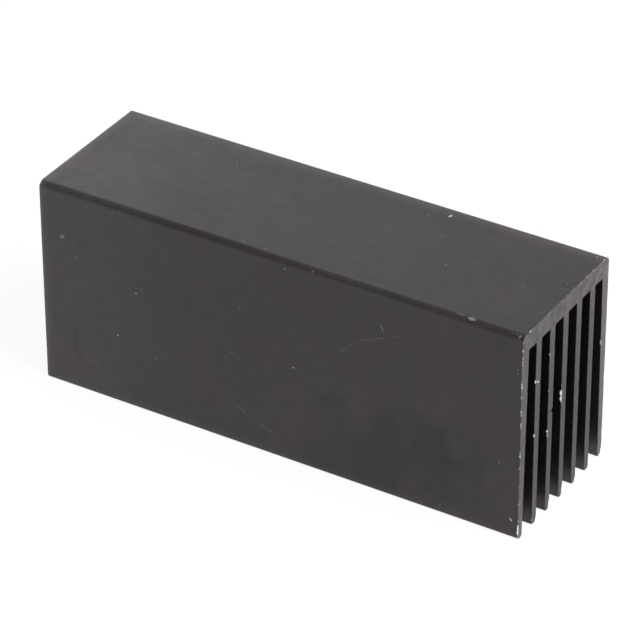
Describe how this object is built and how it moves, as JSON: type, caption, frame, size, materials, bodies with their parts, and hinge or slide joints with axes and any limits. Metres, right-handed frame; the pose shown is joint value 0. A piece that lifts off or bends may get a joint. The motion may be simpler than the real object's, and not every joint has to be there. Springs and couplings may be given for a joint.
{
  "type": "extruded heat sink",
  "caption": "Extruded aluminium heat sink in dark anodising: a flat base with a comb of deep straight fins, sawn to length, to carry heat from a part on its face into the air.",
  "frame": {"origin": "middle of the length and of the width, in the plane of the fin tips that it stands on", "axes": "+X along the extrusion, +Y across the fins, +Z from the fin tips to the flat face of the base"},
  "size_m": [0.1, 0.031, 0.0423],
  "materials": {
    "dark_anodised_aluminium": "satin"
  },
  "bodies": {
    "root": {"heatsink_extrusion": "dark_anodised_aluminium"}
  },
  "joints": []
}
